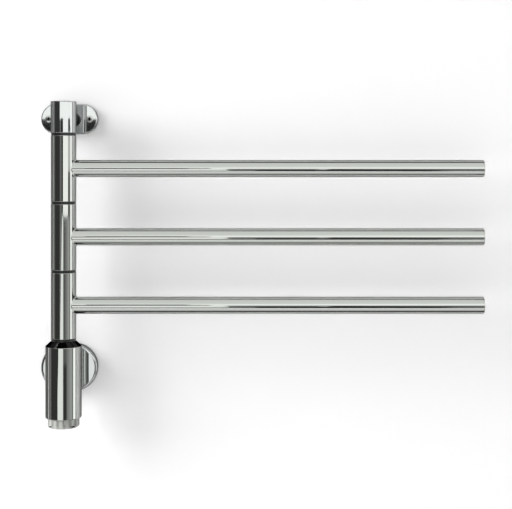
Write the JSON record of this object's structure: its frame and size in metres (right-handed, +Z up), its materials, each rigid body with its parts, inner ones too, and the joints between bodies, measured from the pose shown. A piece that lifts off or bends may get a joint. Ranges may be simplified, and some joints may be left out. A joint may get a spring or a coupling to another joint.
{
  "type": "swing arm towel bar",
  "caption": "Wall-mounted towel warmer with straight bars that swing on a vertical post, and a knob under the post.",
  "frame": {"origin": "middle of the upper wall plate's back face, on the wall's plane", "axes": "+X along the bars at rest, +Y into the wall, +Z up along the post"},
  "size_m": [0.5011, 0.1, 0.3631],
  "materials": {
    "polished_tube": "mirror polished stainless steel tube",
    "plated_casting": "chrome-plated brass, turned or cast",
    "steel_screw": "bright stainless screw",
    "core_steel": "plain turned steel",
    "black_polymer": "moulded acetal, dark",
    "clear_knob": "smoky see-through polycarbonate",
    "pale_polymer": "moulded polyamide, cream",
    "silicone": "silicone rubber",
    "lead_sleeve": "extruded silicone insulation",
    "earth_sleeve": "extruded insulation, green",
    "element_sheath": "drawn steel sheath",
    "brass": "turned brass",
    "circuit_board": "green solder mask",
    "lamp": "moulded lens"
  },
  "bodies": {
    "root": {"upper_wall_plate": "plated_casting", "upper_wall_screws": "steel_screw", "upper_neck": "plated_casting", "upper_neck_screw": "steel_screw", "upper_barrel": "plated_casting", "barrel_cap": "plated_casting", "barrel_grub_screw": "steel_screw", "post_core_tube": "core_steel", "bearing_washers": "black_polymer", "post_locknut": "core_steel", "housing_collar": "plated_casting", "housing_shell": "polished_tube", "neck_nut": "brass", "lower_neck": "plated_casting", "lower_cover_plate": "plated_casting", "cover_set_screw": "steel_screw", "lower_base_plate": "core_steel", "lower_wall_screws": "steel_screw", "cable_grommet": "silicone", "inner_chassis": "black_polymer", "panel_grub_screw": "steel_screw", "terminal_block": "pale_polymer", "terminal_screws": "brass", "switch_body": "pale_polymer", "switch_nut": "brass", "switch_leads": "lead_sleeve", "lead_splices": "pale_polymer", "post_leads": "lead_sleeve", "earth_lead": "earth_sleeve", "indicator_board": "circuit_board", "indicator_lamps": "lamp"},
    "arm_1": {"arm_1_sleeve": "polished_tube", "arm_1_bushes": "pale_polymer", "arm_1_bar": "polished_tube", "arm_1_end_cap": "polished_tube", "arm_1_element": "element_sheath", "arm_1_spacers": "silicone", "arm_1_lead": "lead_sleeve"},
    "arm_2": {"arm_2_sleeve": "polished_tube", "arm_2_bushes": "pale_polymer", "arm_2_bar": "polished_tube", "arm_2_end_cap": "polished_tube", "arm_2_element": "element_sheath", "arm_2_spacers": "silicone", "arm_2_lead": "lead_sleeve"},
    "arm_3": {"arm_3_sleeve": "polished_tube", "arm_3_bushes": "pale_polymer", "arm_3_bar": "polished_tube", "arm_3_end_cap": "polished_tube", "arm_3_element": "element_sheath", "arm_3_spacers": "silicone", "arm_3_lead": "lead_sleeve"},
    "knob": {"control_knob": "clear_knob", "knob_spindle": "core_steel"}
  },
  "joints": [
    {"name": "arm_1_swing", "type": "hinge", "parent": "root", "child": "arm_1", "pos_m": [0, -0.046, -0.05685], "axis": [0, 0, -1], "range_deg": [0, 180]},
    {"name": "arm_2_swing", "type": "hinge", "parent": "root", "child": "arm_2", "pos_m": [0, -0.046, -0.13305], "axis": [0, 0, -1], "range_deg": [0, 180]},
    {"name": "arm_3_swing", "type": "hinge", "parent": "root", "child": "arm_3", "pos_m": [0, -0.046, -0.20925], "axis": [0, 0, -1], "range_deg": [0, 180]},
    {"name": "knob_turn", "type": "hinge", "parent": "root", "child": "knob", "pos_m": [0, -0.046, -0.33375], "axis": [0, 0, -1], "range_deg": [0, 90]}
  ]
}
